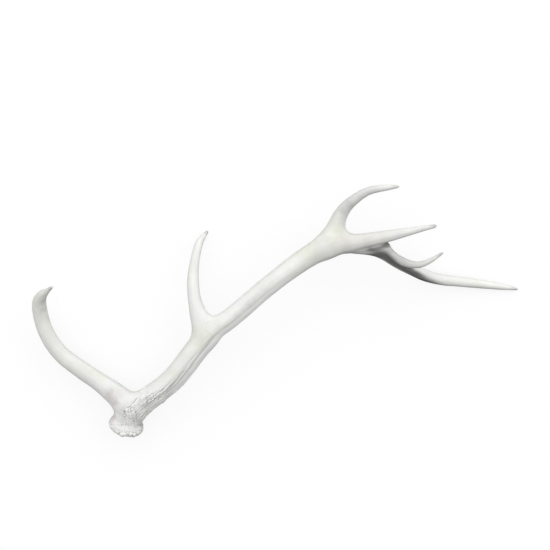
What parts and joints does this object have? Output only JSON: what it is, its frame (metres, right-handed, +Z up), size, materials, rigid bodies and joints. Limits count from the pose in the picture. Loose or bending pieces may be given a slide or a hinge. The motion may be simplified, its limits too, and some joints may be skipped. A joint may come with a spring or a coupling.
{
  "type": "deer antler",
  "caption": "Shed deer antler of bleached bone: a curved beam with a pearled burr, a brow tine, a trez tine and a forked crown, lying on a surface.",
  "frame": {"origin": "bottom centre of the antler's box, on the surface that it lies on", "axes": "+X runs from the burr and the brow tine to the tip of the long back tine, +Z is up, away from the surface"},
  "size_m": [0.8841, 0.4533, 0.1321],
  "materials": {
    "bone": "bleached white bone, matte, with fine grey gutters near the burr and smoother tines"
  },
  "bodies": {
    "root": {"beam": "bone", "brow_tine": "bone", "trez_tine": "bone", "crown_front_tine": "bone", "crown_middle_tine": "bone", "crown_back_tine": "bone", "crown_short_tine": "bone"}
  },
  "joints": []
}
